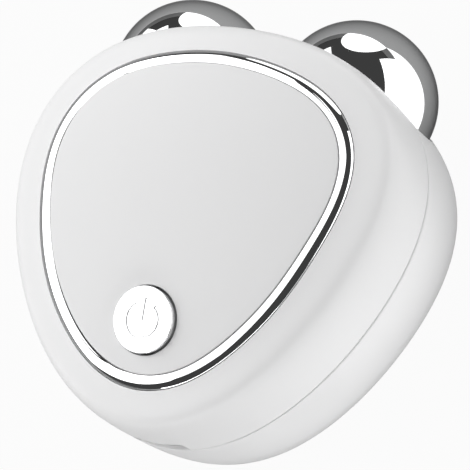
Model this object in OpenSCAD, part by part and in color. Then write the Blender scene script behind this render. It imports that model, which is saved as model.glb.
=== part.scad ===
// Hand-held facial toning device: a soft three-cornered body with two free-rolling metal balls.
// It lies on its back. +Z is the way the domed front faces, +Y points towards the balls, and the
// origin is the middle of the flat rest face. All sizes are in millimetres.

/* [Body outline and shells] */
// Mean radius of the outline at the seam
body_r = 28.3; // [27.8:0.1:30]
// Depth of the outline's three soft corners
body_lobe = 1.81; // [1.4:0.01:2.1]
// Height of the rear shell, from the rest face to the seam
rear_h = 16.9; // [16.5:0.1:18.5]
// Height of the dome's top above the seam
dome_h = 15.9; // [15.5:0.1:17.5]
// Radius of the dome that the ring and the panel follow
dome_r = 80; // [70:1:95]
// Wall of both shells
wall = 2.0; // [1.8:0.1:2.2]
// Thickness of the rear shell's floor
floor_t = 2.4; // [2.3:0.1:2.6]
// How far the flat rest face is drawn in from the seam outline
rest_inset = 5.8; // [5:0.1:6.5]

/* [Lip that joins the shells] */
// Thickness of the rear shell's lip
lip_t = 1.0; // [0.8:0.1:1.2]
// Height of the lip above the seam
lip_h = 1.4; // [1:0.1:1.8]
// Clearance between the lip and the front shell
lip_gap = 0.1; // [0.05:0.05:0.2]

/* [Trim ring and front panel] */
// Width of the shoulder, from the seam outline's mean radius to the ring's
shoulder_w = 5.65; // [5.5:0.05:6.1]
// Depth of the ring outline's three soft corners
ring_lobe = 1.72; // [1.4:0.01:1.9]
// Share by which the ring outline is longer than wide
ring_oval = 0.35; // [0.1:0.05:0.5]
// Width of the trim ring
ring_w = 1.5; // [1.2:0.1:1.6]
// Radius of the round along the ring's two top edges
ring_round = 0.35; // [0.2:0.05:0.45]
// Height of the trim ring above the shoulder beside it
ring_proud = 0.9; // [0.7:0.1:1.1]
// Thickness of the front panel
panel_t = 1.2; // [1:0.1:1.4]
// How far the panel lies below the ring's top
panel_drop = 0.15; // [0.1:0.05:0.3]
// Gap round the panel, the ring and their recess
trim_gap = 0.03; // [0.02:0.01:0.06]

/* [Power button] */
// Distance of the button's middle from the ring's inner edge at the narrow end
button_edge = 6.89; // [6.5:0.01:7.6]
// Radius of the button
button_r = 4.5; // [4.1:0.1:4.7]
// Height of the button above the dome
button_proud = 0.5; // [0.3:0.1:0.7]
// Travel of the button
button_travel = 0.35; // [0.2:0.05:0.4]
// Gap between the button and the panel's hole
button_gap = 0.2; // [0.15:0.05:0.3]
// Radial clearance of the button in the front shell
button_fit = 0.08; // [0.05:0.01:0.1]
// Width of the button's stop flange beyond its side
flange_w = 0.9; // [0.7:0.1:1.1]
// Thickness of the button's stop flange
flange_t = 0.8; // [0.6:0.1:1]
// Radius of the button's stem
stem_r = 1.6; // [1.2:0.1:1.7]
// Radius of the standby mark on the button, at the middle of its stroke
mark_r = 2.4; // [2:0.1:2.8]
// Length of the straight stroke in the standby mark's gap
mark_l = 2.6; // [2:0.1:3]
// Width of the standby mark's stroke
mark_w = 0.3; // [0.2:0.05:0.4]
// Depth of the standby mark
mark_d = 0.12; // [0.08:0.02:0.2]

/* [Balls] */
// Radius of a ball
ball_r = 11; // [10.6:0.1:11.2]
// How far the ball centres lie inside the outline's mean radius
ball_inset = 3.3; // [2.8:0.1:3.6]
// Distance of the ball centres below the seam
ball_drop = 2.2; // [1.8:0.1:2.6]
// Angle of each ball's axle from the device's middle line
splay = 31; // [30.5:0.5:33]
// Wall of a hollow ball
ball_wall = 1.2; // [1:0.1:1.5]
// Gap between a ball and its socket
socket_gap = 0.5; // [0.4:0.05:0.6]
// Wall of a socket
socket_wall = 1.2; // [1:0.1:1.2]

/* [Axles, bushes and hubs] */
// Radius of an axle
axle_r = 1.5; // [1.3:0.1:1.6]
// Radial clearance of an axle in its bushes
axle_fit = 0.05; // [0.02:0.01:0.08]
// Wall of a bush
bush_wall = 0.7; // [0.6:0.05:0.8]
// Length of a bush in its bore
bush_l = 3.5; // [3:0.1:4]
// Thickness of a bush's flange
bush_flange_t = 0.6; // [0.5:0.1:0.7]
// Width of a bush's flange beyond its body
bush_flange_w = 0.9; // [0.7:0.1:1]
// Radius of the hub that fills the ball's opening
hub_r = 4.5; // [4.3:0.1:4.8]
// Gap between pieces that are pressed together
press_gap = 0.02; // [0.01:0.01:0.04]
// Radius of an axle's collar
collar_r = 3.1; // [2.8:0.1:3.2]
// Thickness of an axle's collar
collar_t = 1.0; // [0.8:0.1:1.1]
// Thickness of an axle's rubber seal
seal_t = 0.5; // [0.4:0.1:0.6]
// Depth of the collar's seat below the socket's surface
seat_depth = 1.2; // [1.1:0.1:1.4]
// Wall left under the collar's seat
seat_wall = 1.7; // [1.5:0.1:2]
// Wall of the axle boss round the collar's seat
boss_wall = 1.1; // [1:0.1:1.2]
// Across-corners radius of an axle nut
nut_r = 3.1; // [2.8:0.1:3.2]
// Thickness of an axle nut
nut_t = 1.8; // [1.4:0.1:2]
// Thickness of a solder tag
tag_t = 0.4; // [0.3:0.1:0.5]
// Length of a solder tag from the axle
tag_l = 5.2; // [4.8:0.1:5.6]
// Thickness of an axle's retaining clip
clip_t = 0.5; // [0.4:0.1:0.6]
// Radius of an axle's retaining clip
clip_r = 2.9; // [2.6:0.1:3]

/* [Charging port] */
// Width of the port's notch in the front shell
port_w = 7.8; // [7.6:0.1:9]
// Height of the port's notch above the seam
port_h = 3.0; // [2.9:0.1:3.4]
// Corner radius of the port's notch
port_corner = 1.0; // [0.6:0.1:1.2]
// Width of the socket's metal shell
usb_w = 7.2; // [6.8:0.1:7.4]
// Height of the socket's metal shell
usb_h = 2.5; // [2.4:0.1:2.7]
// Length of the socket's metal shell
usb_l = 5.2; // [4.8:0.1:5.6]
// Metal of the socket's shell
usb_wall = 0.3; // [0.2:0.05:0.35]
// How far the socket's mouth lies inside the body's outline
usb_inset = 1.6; // [1.2:0.1:1.9]

/* [Circuit board and battery] */
// Thickness of the circuit board
board_t = 1.0; // [0.8:0.1:1.2]
// Height of the circuit board's top above the seam
board_up = 0.15; // [0.1:0.05:0.3]
// Gap between the circuit board and the lip
board_gap = 0.6; // [0.4:0.1:0.8]
// Gap between the circuit board's straight edge and the axle nuts
nut_clear = 1.0; // [0.8:0.1:1.6]
// Side of the switch body
switch_w = 6; // [5.6:0.1:6.4]
// Height of the switch body
switch_body_h = 3.5; // [3.2:0.1:3.8]
// Height of the switch with its plunger
switch_h = 6; // [5.6:0.1:6.4]
// Radius of the switch's plunger
plunger_r = 1.75; // [1.5:0.05:1.9]
// Width of the battery
battery_w = 16.4; // [15:0.1:16.6]
// Length of the battery
battery_l = 24; // [20:0.5:25]
// Thickness of the battery
battery_t = 7; // [5.5:0.1:7.4]
// Distance of the battery's middle from the body's middle, towards the port
battery_y = 5; // [4.5:0.1:5.4]
// Thickness of the battery's adhesive pad
tape_t = 0.5; // [0.3:0.1:0.6]
// Radius of the leads over their insulation
lead_r = 0.4; // [0.3:0.05:0.45]

/* [Parts on the circuit board] */
// Gap between the rows of parts
part_gap = 0.8; // [0.6:0.1:1.2]
// Side of the square controller chip
chip_w = 6; // [5:0.5:7]
// Thickness of the controller chip
chip_t = 1.4; // [1:0.1:1.6]
// Distance of the controller chip and the boost inductor from the middle line
chip_x = 9; // [8:0.5:9.5]
// Radius of the boost inductor
inductor_r = 2.6; // [2.2:0.1:2.8]
// Height of the boost inductor
inductor_h = 3.2; // [2.6:0.1:3.6]
// Thickness of the boost inductor's flanges, and their width beyond its core
inductor_flange = 0.6; // [0.5:0.1:0.8]
// Radius of the smoothing capacitor
can_r = 2; // [1.6:0.1:2.2]
// Height of the smoothing capacitor
can_h = 5; // [4:0.1:5.4]
// Distance of the smoothing capacitor from the middle line
can_x = 1.5; // [1:0.1:2]
// Length of a chip capacitor
chip_cap_l = 2; // [1.6:0.1:2.2]
// Width of a chip capacitor
chip_cap_w = 1; // [0.8:0.1:1.2]
// Thickness of a chip capacitor
chip_cap_t = 0.9; // [0.6:0.1:1.1]
// Distance from one chip capacitor to the next
chip_cap_pitch = 3.5; // [2.5:0.1:3.6]
// Distance of the chip capacitors from the circuit board's straight edge
chip_cap_inset = 2.8; // [2.4:0.1:3.2]
// Distance of the electrode leads' pads from the middle line
pad_x = 7; // [6:0.1:8]
// Distance of the electrode leads' pads from the circuit board's straight edge
pad_inset = 1; // [0.8:0.1:1.4]

/* [Screws] */
// Radius of a screw's shank
screw_r = 1.0; // [0.9:0.05:1.1]
// Radius of a screw's head
screw_head_r = 1.9; // [1.7:0.1:2]
// Height of a screw's head
screw_head_h = 1.3; // [1.1:0.1:1.5]
// Length of a screw below its head
screw_l = 11; // [9:0.5:13]
// Gap round a screw's head and its shank in the sleeve
screw_gap = 0.2; // [0.15:0.05:0.3]
// Distance of the screws inside the ring's inner edge
post_inset = 2.65; // [2.55:0.05:3]
// Radius of the rear shell's posts
post_r = 2.3; // [2.1:0.1:2.4]

/* [Hidden] */
$fn = 48;

// Sides of every outline, and steps along the two wall curves
sides = 72;
front_steps = 9;
rear_steps = 9;
hollow_steps = 6;
cap_scales = [0.75, 0.5, 0.25];
round_steps = 4;
// The outlines' small four-fold and six-fold shares
body_quad = 0.09;
body_six = 0.10;
ring_quad = 0.12;
ring_six = 0.19;
// Shares of width and height at the two middle control points of each wall curve
front_p1 = [-0.08, 1.04];
front_p2 = [0.10, 0.85];
rear_p1 = [0.05, 0.98];
rear_p2 = [0.70, 1.0];
// Overlap of pieces that are joined, and reach of cutters past what they cut
joint = 0.5;
past = 1;

// The dome and what lies under it
dome_top = rear_h + dome_h;
bed_drop = panel_drop + panel_t;
roof_drop = bed_drop + wall;
foot_flare = 0.25;
ring_mean = body_r - shoulder_w;

// The balls' axle frame: local z is measured from the ball's centre, outwards
ball_dist = body_r - ball_inset;
ball_z = rear_h - ball_drop;
socket_r = ball_r + socket_gap;
opening_z = -10;
seat_z = -(socket_r + seat_depth);
boss_z = seat_z - seat_wall;
tag_z = boss_z - tag_t;
nut_z = tag_z - nut_t;
axle_tail = 0.8;
boss_r = collar_r + screw_gap + boss_wall;
bush_r = axle_r + axle_fit + bush_wall;
clip_gap = 0.3;
groove_depth = 0.3;
axle_tip = 1.0;
outer_bush_z = 0;
clip_z = outer_bush_z + bush_l + bush_flange_t + clip_gap;
groove_play = 0.1;
web_w = 8;

// The button's frame: local z is measured from the dome, outwards
button_y = ring_r(180, -ring_w) - button_edge;
button_tilt = asin(button_y / dome_r);
stop_gap = 0.1;
flange_z = -(roof_drop - stop_gap) - stop_gap;
board_top = rear_h + board_up;
contact_gap = 0.1;
stem_l = (dome_z(button_y, 0) - board_top - switch_h - contact_gap - stem_r) / cos(button_tilt);
switch_y = -button_y + stem_l * sin(button_tilt);
plunger_depth = 0.9;
// Half the angle of the standby mark's gap, and the middle of its straight stroke as a share of mark_r
mark_gap = 40;
mark_middle = 0.6;

// Screws: angle of each from +Y, and the heights that they pass
screw_angles = [88, 142, 218, 272];
screw_seat_z = rear_h + 5.1;
sleeve_r = screw_head_r + screw_gap + 0.9;
sleeve_floor = 1.2;

// The circuit board's straight edge clears the nuts, and the rows of parts follow that edge
board_y = (ball_dist + nut_z) * cos(splay) - nut_r * sin(splay) - nut_clear;
chip_cap_y = board_y - chip_cap_inset - chip_cap_l / 2;
chip_cap_x = (ring_r(screw_angles[0]) - ring_w - post_inset) * sin(screw_angles[0]) - post_r
    - screw_gap - chip_cap_w / 2;
row_y = chip_cap_y - chip_cap_l / 2 - part_gap;

// Battery and its plug and socket, under the board
battery_z = floor_t + tape_t;
socket_size = [6, 5, 3.4];
socket_y = -3.5;
plug_size = [4.6, 4, 2.6];
battery_lead_x = 0.6;
lead_clear = 0.35;
usb_front = -(outline_r(180) - usb_inset);

// Outline radius at an angle from +Y, at the seam and at the trim ring
function outline_r(a, add = 0) =
    body_r + add - body_lobe * cos(3 * a) - body_quad * cos(4 * a) + body_six * cos(6 * a);
function ring_r(a, add = 0) =
    ring_mean + add + ring_oval * cos(2 * a) - ring_lobe * cos(3 * a) - ring_quad * cos(4 * a)
    + ring_six * cos(6 * a);
// Height of the dome, or of a surface that lies under it by a drop, at a distance from the middle
function dome_z(r, drop) = dome_top - dome_r + sqrt(pow(dome_r - drop, 2) - r * r);
// A curve from [0, 0] to [1, 1] with two control points
function bend(t, p1, p2) =
    3 * pow(1 - t, 2) * t * p1 + 3 * (1 - t) * t * t * p2 + pow(t, 3) * [1, 1];
function polar(r, a, z) = [r * sin(a), r * cos(a), z];
function angles() = [for (i = [0 : sides - 1]) i * 360 / sides];
function body_loop(add) = [for (a = angles()) let (r = outline_r(a, add)) [r * sin(a), r * cos(a)]];
function ring_loop(add) = [for (a = angles()) let (r = ring_r(a, add)) [r * sin(a), r * cos(a)]];

// One ring of points on the front's wall: t runs from the seam, 0, to the foot of the trim ring, 1
function front_level(t, seam_in, foot_in, drop) = let (uv = bend(t, front_p1, front_p2))
    [for (a = angles())
        let (low = outline_r(a, -seam_in), high = ring_r(a, foot_flare - foot_in))
        let (top = dome_z(high, drop))
        polar(low + (high - low) * uv.x, a, rear_h + (top - rear_h) * uv.y)];
function front_cap(s, foot_in, drop) =
    [for (a = angles()) let (r = s * ring_r(a, foot_flare - foot_in)) polar(r, a, dome_z(r, drop))];
// One ring of points on the rear's wall: t runs from the seam, 0, to the flat bottom, 1
function rear_level(t, inset, floor_z) = let (uv = bend(t, rear_p1, rear_p2))
    [for (a = angles())
        polar(outline_r(a, -inset - rest_inset * uv.x), a, rear_h - (rear_h - floor_z) * uv.y)];

// A closed solid through rings of points, from the lowest up, with a flat bottom and either a
// flat top or a peak
module loft(levels, peak = []) {
    n = sides;
    last = len(levels) - 1;
    walls = [for (k = [0 : last - 1], i = [0 : n - 1])
        let (a = k * n + i, b = k * n + (i + 1) % n) each [[a, b, b + n], [a, b + n, a + n]]];
    bottom = [[for (i = [n - 1 : -1 : 0]) i]];
    top = len(peak) == 0
        ? [[for (i = [0 : n - 1]) last * n + i]]
        : [for (i = [0 : n - 1]) [last * n + i, last * n + (i + 1) % n, (last + 1) * n]];
    polyhedron(points = concat([for (l = levels) each l], peak), faces = concat(walls, bottom, top));
}

// A round lead along a smooth curve through points that lie off the x direction. Its ends are cut
// square to its first and its last stretch
function through(p, k, t) = let (n = len(p) - 1)
    let (a = p[max(k - 1, 0)], b = p[k], c = p[k + 1], d = p[min(k + 2, n)])
    0.5 * (2 * b + (c - a) * t + (2 * a - 5 * b + 4 * c - d) * t * t
        + (3 * b - a - 3 * c + d) * t * t * t);
function unit(v) = v / norm(v);
module lead(points, r, corners = 8, steps = 4) {
    line = concat([for (k = [0 : len(points) - 2], s = [0 : steps - 1]) through(points, k, s / steps)],
        [points[len(points) - 1]]);
    last = len(line) - 1;
    end = len(points) - 1;
    rings = [for (i = [0 : last])
        let (t = unit(i == 0 ? points[1] - points[0]
            : i == last ? points[end] - points[end - 1] : line[i + 1] - line[i - 1]))
        let (u = unit(cross(t, [1, 0, 0])), v = cross(t, u))
        for (c = [0 : corners - 1]) let (w = 360 * c / corners) line[i] + r * (cos(w) * u + sin(w) * v)];
    walls = [for (i = [0 : last - 1], c = [0 : corners - 1])
        let (a = i * corners + c, b = i * corners + (c + 1) % corners)
        each [[a, b + corners, b], [a, a + corners, b + corners]]];
    ends = [[for (c = [0 : corners - 1]) c], [for (c = [corners - 1 : -1 : 0]) last * corners + c]];
    polyhedron(points = rings, faces = concat(walls, ends));
}

// Frames of the button, the balls (side is -1 on the left and 1 on the right) and the screws
module at_button() {
    translate([0, -button_y, dome_z(button_y, 0)]) rotate([button_tilt, 0, 0]) children();
}
module at_ball_middle(side) {
    translate(polar(ball_dist, side * splay, ball_z)) children();
}
module at_ball(side) {
    at_ball_middle(side) rotate([-90, 0, -side * splay]) children();
}
module at_balls() {
    for (side = [-1, 1]) at_ball(side) children();
}
module at_screws() {
    for (a = screw_angles) translate(polar(ring_r(a, -ring_w - post_inset), a, 0)) children();
}
module round_balls(r) {
    for (side = [-1, 1]) at_ball_middle(side) sphere(r = r, $fn = 96);
}
module rod(r, from, to) {
    translate([0, 0, from]) cylinder(r = r, h = to - from);
}
module block(size, middle, low_z) {
    translate([middle.x - size.x / 2, middle.y - size.y / 2, low_z]) cube(size);
}
// What fills the rear shell's side of the seam round each axle
module axle_boss(extra) {
    rod(boss_r + extra, boss_z, -socket_r + past);
}
// The shells' inside, less the socket walls and the web between them
module socket_walls() {
    round_balls(socket_r + socket_wall);
    block([web_w, body_r, dome_top], [0, ball_dist * cos(splay) - web_w + body_r / 2], 0);
}
module sockets() {
    round_balls(socket_r);
}
module dome_ball(drop) {
    translate([0, 0, dome_top - dome_r]) sphere(r = dome_r - drop, $fn = 180);
}
module outline_slab(loop, low, high) {
    translate([0, 0, low]) linear_extrude(height = high - low) polygon(loop);
}
module port_notch(from_y, to_y) {
    w = port_w / 2 - port_corner;
    for (x = [-w, w])
        translate([x, from_y, rear_h + port_h - port_corner]) rotate([-90, 0, 0])
            cylinder(r = port_corner, h = to_y - from_y);
    translate([-w, from_y, rear_h - past]) cube([2 * w, to_y - from_y, port_h + past]);
    translate([-port_w / 2, from_y, rear_h - past])
        cube([port_w, to_y - from_y, port_h + past - port_corner]);
}

module front_shell() color([0.92, 0.92, 0.92]) difference() {
    union() {
        difference() {
            loft(concat([for (i = [0 : front_steps]) front_level(i / front_steps, 0, 0, ring_proud)],
                    [for (s = cap_scales) front_cap(s, 0, ring_proud)]),
                [[0, 0, dome_top - ring_proud]]);
            difference() {
                loft(concat([[for (p = front_level(0, wall, wall, roof_drop)) p - [0, 0, past]]],
                        [for (i = [0 : hollow_steps]) front_level(i / hollow_steps, wall, wall, roof_drop)],
                        [for (s = cap_scales) front_cap(s, wall, roof_drop)]),
                    [[0, 0, dome_top - roof_drop]]);
                socket_walls();
            }
        }
        at_screws() {
            rod(post_r, board_top, screw_seat_z);
            rod(sleeve_r, screw_seat_z - sleeve_floor, dome_z(ring_mean, bed_drop) - joint);
        }
    }
    sockets();
    at_balls() axle_boss(lip_gap);
    difference() {
        outline_slab(ring_loop(trim_gap), rear_h + dome_h / 2, dome_top + past);
        dome_ball(bed_drop);
    }
    at_screws() {
        rod(screw_r + screw_gap, rear_h, dome_top);
        rod(screw_head_r + screw_gap, screw_seat_z, dome_top);
    }
    at_button() {
        rod(button_r + button_fit, -2 * roof_drop, past);
        rod(button_r + flange_w + screw_gap, -2 * roof_drop, flange_z + stop_gap);
    }
    port_notch(-body_r * 2, -body_r / 2);
}

module rear_shell() color([0.94, 0.94, 0.94]) difference() {
    union() {
        difference() {
            loft([for (i = [rear_steps : -1 : 0]) rear_level(i / rear_steps, 0, 0)]);
            difference() {
                loft(concat([for (i = [hollow_steps : -1 : 0]) rear_level(i / hollow_steps, wall, floor_t)],
                    [[for (p = rear_level(0, wall, floor_t)) p + [0, 0, past]]]));
                socket_walls();
            }
        }
        difference() {
            union() {
                outline_slab(body_loop(-wall + joint), rear_h - wall, rear_h);
                outline_slab(body_loop(-wall - lip_gap), rear_h - wall, rear_h + lip_h);
            }
            outline_slab(body_loop(-wall - lip_gap - lip_t), 0, dome_top);
            round_balls(socket_r + socket_wall + lip_gap);
            block([web_w + 2 * lip_gap, body_r, dome_top],
                [0, ball_dist * cos(splay) - web_w - lip_gap + body_r / 2], rear_h);
            block([port_w + 2 * lip_gap, body_r, dome_top], [0, -body_r], rear_h);
        }
        at_balls() axle_boss(0);
        at_screws() rod(post_r, floor_t - joint, board_top - board_t);
    }
    sockets();
    at_balls() {
        rod(axle_r + axle_fit, boss_z - past, 0);
        rod(collar_r + screw_gap, seat_z, 0);
    }
    at_screws() rod(screw_r + press_gap, screw_seat_z - screw_l - past, rear_h);
}

// The ring's section runs up its outer side, over its top with two rounds, and down its inner side
module trim_ring() color([0.86, 0.87, 0.88]) difference() {
    foot = bed_drop + joint;
    turn = [for (i = [0 : round_steps]) let (w = 90 * i / round_steps)
        ring_round * [1 - cos(w), 1 - sin(w)]];
    section = concat([[0, foot]], [for (p = turn) [-p.x, p.y]],
        [for (i = [round_steps : -1 : 0]) [turn[i].x - ring_w, turn[i].y]], [[-ring_w, foot]]);
    rows = len(section);
    polyhedron(
        points = [for (p = section, a = angles()) let (r = ring_r(a, p.x)) polar(r, a, dome_z(r, p.y))],
        faces = [for (k = [0 : rows - 1], i = [0 : sides - 1])
            let (a = k * sides, b = (k + 1) % rows * sides, j = (i + 1) % sides)
            each [[a + i, a + j, b + j], [a + i, b + j, b + i]]]);
    dome_ball(bed_drop);
}

module front_panel() color([0.89, 0.89, 0.90]) difference() {
    intersection() {
        outline_slab(ring_loop(-ring_w - trim_gap), rear_h, dome_top);
        dome_ball(panel_drop);
    }
    dome_ball(bed_drop);
    at_button() rod(button_r + button_gap, -dome_h / 2, past);
}

// The standby mark: an open circle with a straight stroke in its gap
module standby_mark() {
    reach = 2 * mark_r;
    gap_edge = reach * [sin(mark_gap), cos(mark_gap)];
    difference() {
        rod(mark_r + mark_w / 2, 0, past);
        rod(mark_r - mark_w / 2, -past, 2 * past);
        outline_slab([[0, 0], [-gap_edge.x, gap_edge.y], gap_edge], -past, 2 * past);
    }
    block([mark_w, mark_l, past], [0, mark_r * mark_middle], 0);
}
module button_cap() color([0.86, 0.87, 0.88]) at_button() difference() {
    union() {
        rod(button_r, flange_z - flange_t / 2, button_proud);
        rod(button_r + flange_w, flange_z - flange_t, flange_z);
        rod(stem_r, -stem_l, flange_z);
        translate([0, 0, -stem_l]) sphere(r = stem_r);
    }
    translate([0, 0, button_proud - mark_d]) standby_mark();
}

module switch_body() color([0.16, 0.16, 0.17]) difference() {
    block([switch_w, switch_w, switch_body_h], [0, switch_y], board_top);
    translate([0, switch_y, board_top]) rod(plunger_r + axle_fit, switch_body_h - plunger_depth
        - button_travel - stop_gap, switch_h);
}
module switch_plunger() color([0.25, 0.25, 0.27]) translate([0, switch_y, board_top])
    rod(plunger_r, switch_body_h - plunger_depth, switch_h);

module circuit_board() color([0.09, 0.38, 0.20]) difference() {
    intersection() {
        outline_slab(body_loop(-wall - lip_gap - lip_t - board_gap), board_top - board_t, board_top);
        block([body_r * 2, body_r * 2, dome_top], [0, board_y - body_r], 0);
    }
    at_screws() rod(screw_r + screw_gap, rear_h - past, rear_h + past);
}
module controller_chip() color([0.10, 0.10, 0.11])
    block([chip_w, chip_w, chip_t], [chip_x, row_y - chip_w / 2], board_top);
module boost_inductor() color([0.22, 0.20, 0.20])
    translate([-chip_x, row_y - inductor_r, board_top]) {
        rod(inductor_r, 0, inductor_flange);
        rod(inductor_r - inductor_flange, 0, inductor_h);
        rod(inductor_r, inductor_h - inductor_flange, inductor_h);
    }
module smoothing_capacitor() color([0.72, 0.72, 0.74])
    translate([-can_x, row_y - can_r, board_top]) rod(can_r, 0, can_h);
module chip_capacitors() color([0.72, 0.60, 0.44])
    for (k = [0 : 3])
        block([chip_cap_w, chip_cap_l, chip_cap_t], [chip_cap_x - k * chip_cap_pitch, chip_cap_y],
            board_top);

// The charging socket: a metal shell that is open towards the notch, and its plastic tongue
module usb_shell() color([0.75, 0.76, 0.78]) difference() {
    block([usb_w, usb_l, usb_h], [0, usb_front + usb_l / 2], board_top);
    block([usb_w - 2 * usb_wall, usb_l, usb_h - 2 * usb_wall],
        [0, usb_front + usb_l / 2 - usb_wall], board_top + usb_wall);
}
module usb_tongue() color([0.12, 0.12, 0.13]) {
    back = 1.2;
    block([usb_w - 2 * usb_wall, back, usb_h - 2 * usb_wall],
        [0, usb_front + usb_l - usb_wall - back / 2], board_top + usb_wall);
    block([usb_w / 2, usb_l - back - 2 * usb_wall, usb_h / 4],
        [0, usb_front + usb_l / 2 - back / 2], board_top + usb_h / 2);
}

module battery() color([0.70, 0.72, 0.76])
    block([battery_w, battery_l, battery_t], [0, -battery_y], battery_z);
module battery_tape() color([0.20, 0.20, 0.20])
    block([battery_w - 2, battery_l - 2, tape_t], [0, -battery_y], floor_t);
module battery_socket() color([0.90, 0.88, 0.80]) difference() {
    block(socket_size, [0, socket_y], board_top - board_t - socket_size.z);
    block(plug_size + [0.1, 0, 0.1], [0, socket_y + socket_size.y / 2],
        board_top - board_t - (socket_size.z + plug_size.z) / 2 - 0.05);
}
module battery_plug() color([0.95, 0.94, 0.90])
    block(plug_size, [0, socket_y + socket_size.y / 2],
        board_top - board_t - (socket_size.z + plug_size.z) / 2);
// The leads run from the plug over the battery, under the axle nuts, and down into its end
module battery_leads() color([0.75, 0.12, 0.10]) {
    plug_end = socket_y + (socket_size.y + plug_size.y) / 2;
    plug_mid = board_top - board_t - socket_size.z / 2;
    cell_end = battery_l / 2 - battery_y;
    cell_mid = battery_z + battery_t * 0.6;
    over = battery_z + battery_t + lead_r + lead_clear;
    for (x = [-battery_lead_x, battery_lead_x])
        lead([[x, plug_end, plug_mid], [x, plug_end + 1.5, plug_mid], [x, plug_end + 3.4, over + 0.4],
            [x, cell_end, over], [x, cell_end + 2 * lead_r + lead_clear, over - 1],
            [x, cell_end + 2 * lead_r + lead_clear, cell_mid + 0.8],
            [x, cell_end + 0.8, cell_mid], [x, cell_end, cell_mid]], lead_r);
}
// Each lead runs from a solder tag's top down to its pad at the board's edge
module electrode_leads() color([0.90, 0.90, 0.92]) for (side = [-1, 1]) {
    tag_at = polar(ball_dist + tag_z, side * splay, ball_z + tag_l - lead_r);
    tag_x = tag_at.x - side * lead_r;
    pad = [side * pad_x, board_y - pad_inset, board_top];
    lead([[tag_x, tag_at.y - lead_r, tag_at.z], [tag_x, tag_at.y - 1.4, tag_at.z + 0.4],
        [(tag_x + pad.x) / 2, (tag_at.y + pad.y) / 2, tag_at.z + 0.4],
        [pad.x, pad.y + 0.4, board_top + 2], [pad.x, pad.y, board_top + 0.9], pad], lead_r);
}

// The pieces of one ball and its axle, in the ball's frame
module ball() color([0.82, 0.83, 0.84]) difference() {
    sphere(r = ball_r, $fn = 96);
    sphere(r = ball_r - ball_wall, $fn = 96);
    rod(hub_r, -2 * ball_r, 0);
}
module ball_hub() color([0.93, 0.93, 0.90]) difference() {
    rod(hub_r - press_gap, opening_z, sqrt(pow(ball_r - ball_wall, 2) - hub_r * hub_r));
    rod(bush_r + press_gap, -ball_r, ball_r);
    rod(bush_r + bush_flange_w + screw_gap, outer_bush_z + bush_l, ball_r);
}
module ball_bushes() color([0.78, 0.62, 0.30]) {
    difference() {
        union() {
            rod(bush_r, opening_z, opening_z + bush_l);
            rod(bush_r + bush_flange_w, opening_z - bush_flange_t, opening_z);
        }
        rod(axle_r + axle_fit, -2 * ball_r, ball_r);
    }
    difference() {
        union() {
            rod(bush_r, outer_bush_z, outer_bush_z + bush_l);
            rod(bush_r + bush_flange_w, outer_bush_z + bush_l, outer_bush_z + bush_l + bush_flange_t);
        }
        rod(axle_r + axle_fit, -ball_r, 2 * ball_r);
    }
}
module axle() color([0.70, 0.71, 0.73]) difference() {
    union() {
        rod(axle_r, nut_z - axle_tail, clip_z + clip_t + axle_tip);
        rod(collar_r, seat_z + seal_t, seat_z + seal_t + collar_t);
    }
    difference() {
        rod(axle_r + past, clip_z - groove_play / 2, clip_z + clip_t + groove_play / 2);
        rod(axle_r - groove_depth, -ball_r, ball_r);
    }
}
module axle_clip() color([0.55, 0.56, 0.58]) difference() {
    rod(clip_r, clip_z, clip_z + clip_t);
    rod(axle_r - groove_depth + press_gap, 0, ball_r);
    block([2 * (axle_r - groove_depth), clip_r * 2, past * 2], [0, clip_r], clip_z - clip_t);
}
module axle_seal() color([0.20, 0.20, 0.21]) difference() {
    rod(collar_r, seat_z, seat_z + seal_t);
    rod(axle_r + axle_fit, -2 * ball_r, 0);
}
module axle_nut() color([0.66, 0.62, 0.45]) difference() {
    translate([0, 0, nut_z]) cylinder(r = nut_r, h = nut_t, $fn = 6);
    rod(axle_r + press_gap, -3 * ball_r, 0);
}
module solder_tag() color([0.80, 0.68, 0.35]) difference() {
    union() {
        rod(nut_r, tag_z, boss_z);
        translate([-1, -tag_l, tag_z]) cube([2, tag_l, tag_t]);
    }
    rod(axle_r + press_gap, -3 * ball_r, 0);
}

module shell_screws() color([0.45, 0.46, 0.48]) at_screws() {
    rod(screw_r, screw_seat_z - screw_l, screw_seat_z);
    difference() {
        rod(screw_head_r, screw_seat_z, screw_seat_z + screw_head_h);
        for (turn = [0, 90]) rotate([0, 0, turn])
            block([screw_head_r * 1.2, 0.4, 1], [0, 0], screw_seat_z + screw_head_h - 0.7);
    }
}

front_shell();
rear_shell();
trim_ring();
front_panel();
button_cap();
switch_body();
switch_plunger();
circuit_board();
controller_chip();
boost_inductor();
smoothing_capacitor();
chip_capacitors();
usb_shell();
usb_tongue();
battery();
battery_tape();
battery_socket();
battery_plug();
battery_leads();
electrode_leads();
at_ball(-1) ball();  // left_ball
at_ball(1) ball();  // right_ball
at_ball(-1) ball_hub();  // left_ball_hub
at_ball(1) ball_hub();  // right_ball_hub
at_ball(-1) ball_bushes();  // left_ball_bushes
at_ball(1) ball_bushes();  // right_ball_bushes
at_ball(-1) axle();  // left_axle
at_ball(1) axle();  // right_axle
at_ball(-1) axle_clip();  // left_axle_clip
at_ball(1) axle_clip();  // right_axle_clip
at_ball(-1) axle_seal();  // left_axle_seal
at_ball(1) axle_seal();  // right_axle_seal
at_ball(-1) axle_nut();  // left_axle_nut
at_ball(1) axle_nut();  // right_axle_nut
at_ball(-1) solder_tag();  // left_solder_tag
at_ball(1) solder_tag();  // right_solder_tag
shell_screws();
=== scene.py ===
import math

import bmesh
import bpy
from mathutils import Matrix, Vector


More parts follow.
